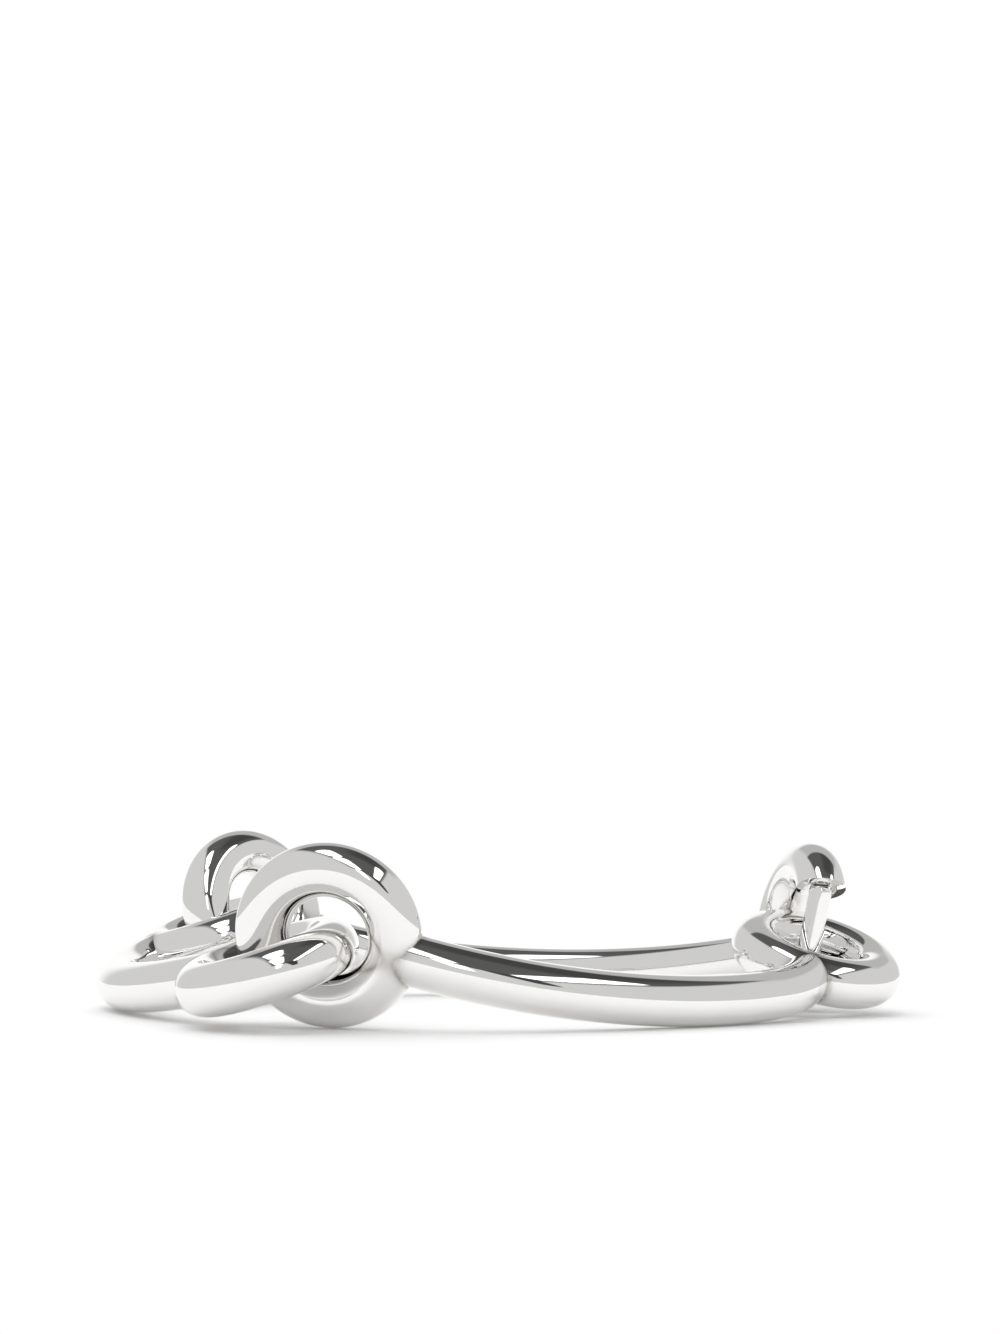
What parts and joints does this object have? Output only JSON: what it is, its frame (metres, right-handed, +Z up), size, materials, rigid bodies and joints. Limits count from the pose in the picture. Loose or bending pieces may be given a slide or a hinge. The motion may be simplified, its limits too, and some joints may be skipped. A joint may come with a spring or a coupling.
{
  "type": "linked ring bracelet",
  "caption": "Closed loop of three bent round bars, each ending in two plain rings that link through their neighbours, closed by a ring with a sprung gate.",
  "frame": {"origin": "middle of the footprint, on the surface the bracelet lies on", "axes": "+X along the longest side, from the end piece to the clasp; +Y from the front bar to the back bar; +Z up"},
  "size_m": [0.0731, 0.0566, 0.0162],
  "materials": {
    "silver": "mirror polished solid silver with fine handling scratches",
    "spring_steel": "plain bright spring strip"
  },
  "bodies": {
    "front_piece": {"front_eye_ring": "silver", "front_bar": "silver", "catch_ring": "silver"},
    "back_piece": {"back_eye_ring": "silver", "back_bar": "silver", "clasp_ring": "silver", "gate_pin": "silver", "gate_spring": "spring_steel"},
    "end_piece": {"end_front_ring": "silver", "end_bar": "silver", "end_back_ring": "silver"},
    "gate_body": {"gate": "silver"}
  },
  "joints": [
    {"name": "end_rock", "type": "hinge", "parent": "front_piece", "child": "end_piece", "pos_m": [-0.0139, -0.02107, 0.00685], "axis": [-0.2349, 0.9717, 0.0262], "range_deg": [-16, 14]},
    {"name": "back_rock", "type": "hinge", "parent": "front_piece", "child": "back_piece", "pos_m": [0.02777, 0.00914, 0.00779], "axis": [-0.9872, 0.1591, 0.0138], "range_deg": [-16, 12]},
    {"name": "gate_swing", "type": "hinge", "parent": "back_piece", "child": "gate_body", "pos_m": [0.02775, 0.0051, 0.00289], "axis": [-0.9612, -0.2111, 0.1774], "range_deg": [0, 8], "stiffness_Nm_per_rad": 0.002, "springref_deg": -11.46, "deforming": ["gate_spring"]}
  ]
}
